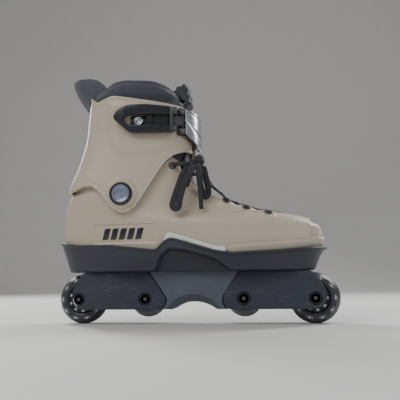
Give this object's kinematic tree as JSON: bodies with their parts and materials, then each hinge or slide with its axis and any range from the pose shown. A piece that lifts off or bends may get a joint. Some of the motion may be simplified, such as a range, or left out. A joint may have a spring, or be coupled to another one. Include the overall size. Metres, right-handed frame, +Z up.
{
  "type": "inline skate",
  "caption": "Hard-shell inline skate: hinged cuff with ratchet buckle, laced shell, padded liner, soulplate, frame with grinding block, outer wheels and small inner wheels.",
  "frame": {"origin": "on the ground, midway between the outer axles and between the frame's two sides", "axes": "+X to the toe, +Y to the inner side of the foot, +Z up"},
  "size_m": [0.3326, 0.1034, 0.303],
  "materials": {
    "sand_shell": "satin moulded plastic",
    "dark_sole": "matte moulded plastic, lightly scuffed",
    "block": "scuffed moulded plastic",
    "side_plate": "scuffed moulded plastic",
    "white_shim": "satin white plastic",
    "liner": "padded synthetic fabric",
    "foam": "cloth-covered foam",
    "black_plastic": "satin black plastic",
    "button": "satin blue-grey plastic",
    "silver": "bright silver",
    "hub": "silver plastic",
    "steel": "bearing steel",
    "black_steel": "black oxide steel",
    "tyre": "urethane, satin",
    "grey_tyre": "urethane, satin grey",
    "lace": "woven flat lace"
  },
  "bodies": {
    "boot": {"shell": "sand_shell", "soulplate": "dark_sole", "arch_shim_lateral": "white_shim", "arch_shim_medial": "white_shim", "frame": "block", "rear_side_plate_lateral": "side_plate", "rear_side_plate_medial": "side_plate", "front_side_plate_lateral": "side_plate", "front_side_plate_medial": "side_plate", "rear_outer_axle_bolt": "black_steel", "rear_outer_axle_nut": "black_steel", "rear_inner_axle_bolt": "black_steel", "rear_inner_axle_nut": "black_steel", "front_inner_axle_bolt": "black_steel", "front_inner_axle_nut": "black_steel", "front_outer_axle_bolt": "black_steel", "front_outer_axle_nut": "black_steel", "frame_bolt_heel": "black_steel", "frame_bolt_toe": "black_steel", "pivot_ring_lateral": "black_plastic", "pivot_ring_medial": "black_plastic", "pivot_bolt_lateral": "button", "pivot_bolt_medial": "button", "pivot_nut_lateral": "steel", "pivot_nut_medial": "steel", "liner_foot": "liner", "tongue_lower": "liner", "insole": "foam", "heel_shock_pad": "foam", "lace_lattice": "lace", "lace_knot": "lace", "lace_loop_rear": "lace", "lace_loop_front": "lace", "lace_end_rear": "lace", "lace_end_front": "lace"},
    "cuff": {"cuff": "sand_shell", "liner_shaft": "liner", "tongue_upper": "liner", "buckle_base": "black_plastic", "buckle_screw": "silver", "lever_pin": "black_steel", "ladder_strap": "black_plastic", "strap_shield": "silver", "strap_anchor_screw": "silver"},
    "lever": {"buckle_lever": "black_plastic"},
    "catch": {"strap_catch": "black_plastic"},
    "rear_outer_wheel": {"rear_tyre": "tyre", "rear_hub": "hub", "rear_wheel_bearing_lateral": "steel", "rear_wheel_bearing_medial": "steel"},
    "rear_inner_wheel": {"rear_inner_wheel": "grey_tyre", "rear_inner_wheel_bearing_lateral": "steel", "rear_inner_wheel_bearing_medial": "steel"},
    "front_inner_wheel": {"front_inner_wheel": "grey_tyre", "front_inner_wheel_bearing_lateral": "steel", "front_inner_wheel_bearing_medial": "steel"},
    "front_outer_wheel": {"front_tyre": "tyre", "front_hub": "hub", "front_wheel_bearing_lateral": "steel", "front_wheel_bearing_medial": "steel"}
  },
  "joints": [
    {"name": "cuff_flex", "type": "hinge", "parent": "boot", "child": "cuff", "pos_m": [-0.0797, 0, 0.1495], "axis": [0, 1, 0], "range_deg": [-2, 6], "stiffness_Nm_per_rad": 15},
    {"name": "lever_open", "type": "hinge", "parent": "cuff", "child": "lever", "pos_m": [-0.021, -0.0465, 0.235], "axis": [0, 0, 1], "range_deg": [0, 100]},
    {"name": "catch_release", "type": "hinge", "parent": "cuff", "child": "catch", "pos_m": [-0.044, -0.046, 0.235], "axis": [0, 0, 1], "range_deg": [0, 12], "stiffness_Nm_per_rad": 0.05, "springref_deg": -11.46},
    {"name": "rear_outer_wheel_spin", "type": "hinge", "parent": "boot", "child": "rear_outer_wheel", "pos_m": [-0.13725, 0, 0.029], "axis": [0, 1, 0], "continuous": true},
    {"name": "rear_inner_wheel_spin", "type": "hinge", "parent": "boot", "child": "rear_inner_wheel", "pos_m": [-0.0572, 0, 0.029], "axis": [0, 1, 0], "continuous": true},
    {"name": "front_inner_wheel_spin", "type": "hinge", "parent": "boot", "child": "front_inner_wheel", "pos_m": [0.0572, 0, 0.029], "axis": [0, 1, 0], "continuous": true},
    {"name": "front_outer_wheel_spin", "type": "hinge", "parent": "boot", "child": "front_outer_wheel", "pos_m": [0.13725, 0, 0.029], "axis": [0, 1, 0], "continuous": true}
  ]
}
